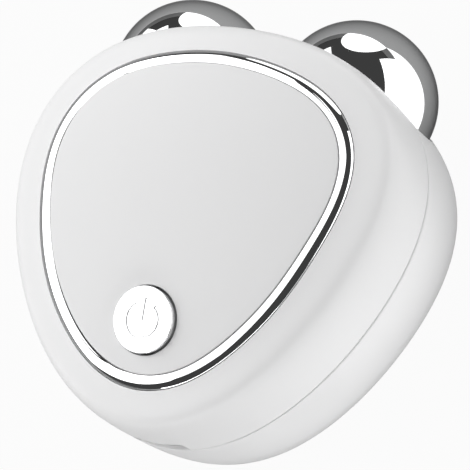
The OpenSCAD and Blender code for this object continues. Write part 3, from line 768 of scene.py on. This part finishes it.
def floor_lamp(name, azimuth, near, size, radiance, mirrored):
    """A soft lamp that lies face up beside the device, its near edge at a distance from the
    middle. It lights gloss alone where it is mirrored, and matte surfaces alone where not."""
    holder = lamp(name, azimuth, 0, near + size[1] / 2, size, radiance, mirrored=mirrored)
    holder.visible_diffuse = not mirrored
    holder.location.z = FLOOR_LAMP_Z
    holder.rotation_mode = "XYZ"
    holder.rotation_euler = (math.pi, 0, -math.radians(azimuth))


def lights():
    """Soft lamps round the device: their directions, distances, sizes in metres and radiances."""
    lamp("key", -88, 40, 1.5, (2.3, 1.73), 2.06)
    lamp("top", -85, 83, 1.6, (1.8, 0.6), 1.6)
    lamp("kicker", -42, 36, 1.6, (0.45, 0.7), 1.5)
    lamp("disc", -4, 9, 1.6, (1.2, 1.4), 1.6, "ELLIPSE")
    lamp("strip", 67, 13, 1.6, (2.4, 0.74), 2.4)
    lamp("front", 158, 6, 1.6, (2.2, 0.45), 4.2)
    floor_lamp("floor card", 103, 0.031, (2.2, 1.1), 1.1, True)
    floor_lamp("fill", 130, 0.03, (2.4, 1.2), 0.65, False)
    world = bpy.data.worlds.new("studio")
    world.use_nodes = True
    grey = (WORLD_GREY, WORLD_GREY, WORLD_GREY, 1)
    world.node_tree.nodes["Background"].inputs["Color"].default_value = grey
    bpy.context.scene.world = world


# ---------------------------------------------------------------- camera
# The azimuth runs from -Y towards +X. Angles are in degrees, the lens in millimetres.
CAMERA_AIM = Vector((1.51, 0.19, 17.0)) * MM
CAMERA_FAR = 0.6366
CAMERA_AZIMUTH = 67.54
CAMERA_ELEVATION = 57.53
CAMERA_ROLL = 55.22
CAMERA_LENS = 363.6


def camera():
    data = bpy.data.cameras.new("camera")
    data.lens = CAMERA_LENS
    data.sensor_width = 36.0
    data.clip_start, data.clip_end = 0.05, 20
    eye = bpy.data.objects.new("camera", data)
    a, e = math.radians(CAMERA_AZIMUTH), math.radians(CAMERA_ELEVATION)
    back = Vector((math.sin(a) * math.cos(e), -math.cos(a) * math.cos(e), math.sin(e)))
    level_right = Vector((0, 0, 1)).cross(back).normalized()
    level_up = back.cross(level_right)
    roll = math.radians(CAMERA_ROLL)
    up = level_up * math.cos(roll) + level_right * math.sin(roll)
    right = up.cross(back)
    eye.matrix_world = (Matrix.Translation(CAMERA_AIM + back * CAMERA_FAR)
                        @ Matrix((right, up, back)).transposed().to_4x4())
    bpy.context.scene.collection.objects.link(eye)
    bpy.context.scene.camera = eye


# ---------------------------------------------------------------- the dressed device
def dress(piece, body, slot, mat, *nodes):
    """Gives a piece its material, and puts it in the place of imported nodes."""
    piece.data.materials.clear()
    piece.data.materials.append(mat)
    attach(piece, body)
    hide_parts(*nodes)


def device():
    shell = surface("shell white", (0.86, 0.86, 0.863), 0.40, shade=0.006, depth=0.0006)
    panel = surface("panel grey", (0.822, 0.822, 0.825), 0.55, shade=0.008, depth=0.0015)
    chrome = surface("bright chrome", (0.88, 0.885, 0.89), 0.03, 1.0, shade=0.01, vary=0.012,
                     edge=0.35)
    steel = surface("turned steel", (0.56, 0.57, 0.58), 0.28, 1.0, vary=0.08, fine=4000,
                    depth=0.001, stretch=(1, 1, 8))
    bronze = surface("sintered bronze", (0.56, 0.36, 0.16), 0.42, 1.0, shade=0.12, fine=14000,
                     depth=0.004)
    brass = surface("brass plate", (0.78, 0.60, 0.28), 0.26, 1.0, vary=0.08, shade=0.06,
                    depth=0.001)
    rubber = surface("rubber black", (0.022, 0.022, 0.024), 0.68, fine=12000, depth=0.003)
    nylon = surface("natural nylon", (0.80, 0.79, 0.72), 0.48, shade=0.02, depth=0.0015)
    board = surface("board green", (0.012, 0.15, 0.06), 0.35, shade=0.1, coat=0.3, depth=0.02,
                    pattern=((0.03, 0.26, 0.11), 420))
    black = surface("moulded black", (0.03, 0.03, 0.032), 0.45, shade=0.1, fine=16000, depth=0.002)
    tin = surface("tinned metal", (0.72, 0.73, 0.74), 0.30, 1.0, vary=0.1, shade=0.04, depth=0.001)
    ceramic = surface("tan ceramic", (0.46, 0.33, 0.20), 0.5, shade=0.12, fine=16000, depth=0.001)
    foil = surface("battery foil", (0.62, 0.64, 0.67), 0.36, 0.9, vary=0.08, fine=700, depth=0.03)
    foam = surface("foam pad", (0.05, 0.05, 0.052), 0.92, shade=0.2, fine=3500, depth=0.05)
    cream = surface("connector cream", (0.80, 0.75, 0.60), 0.46, shade=0.03, depth=0.001)
    red = surface("red insulation", (0.55, 0.025, 0.015), 0.40, shade=0.08, depth=0.001)
    white = surface("white insulation", (0.82, 0.82, 0.83), 0.42, shade=0.03, depth=0.001)

    dress(front_shell(), "body", "shell_white", shell, "front_shell")
    dress(rear_shell(), "body", "shell_white", shell, "rear_shell")
    dress(ring_piece(), "body", "bright_chrome", chrome, "trim_ring")
    dress(panel_piece(), "body", "panel_grey", panel, "front_panel")
    dress(button_piece(), "button", "bright_chrome", chrome, "button_cap")
    for side in ("left", "right"):
        dress(ball_piece(side), side + "_ball_body", "bright_chrome", chrome, side + "_ball")

    inside = {"switch_body": black, "switch_plunger": black, "circuit_board": board,
              "controller_chip": black, "boost_inductor": black, "smoothing_capacitor": tin,
              "chip_capacitors": ceramic, "usb_shell": tin, "usb_tongue": black, "battery": foil,
              "battery_tape": foam, "battery_socket": cream, "battery_plug": cream,
              "battery_leads": red, "electrode_leads": white, "shell_screws": steel}
    for side in ("left", "right"):
        inside.update({side + end: mat for end, mat in (
            ("_ball_hub", nylon), ("_ball_bushes", bronze), ("_axle", steel), ("_axle_clip", steel),
            ("_axle_seal", rubber), ("_axle_nut", brass), ("_solder_tag", brass))})
    for name, mat in inside.items():
        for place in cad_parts[name].material_slots:
            place.material = mat


camera()
stage()
lights()
device()
bpy.context.scene.view_settings.view_transform = "Standard"
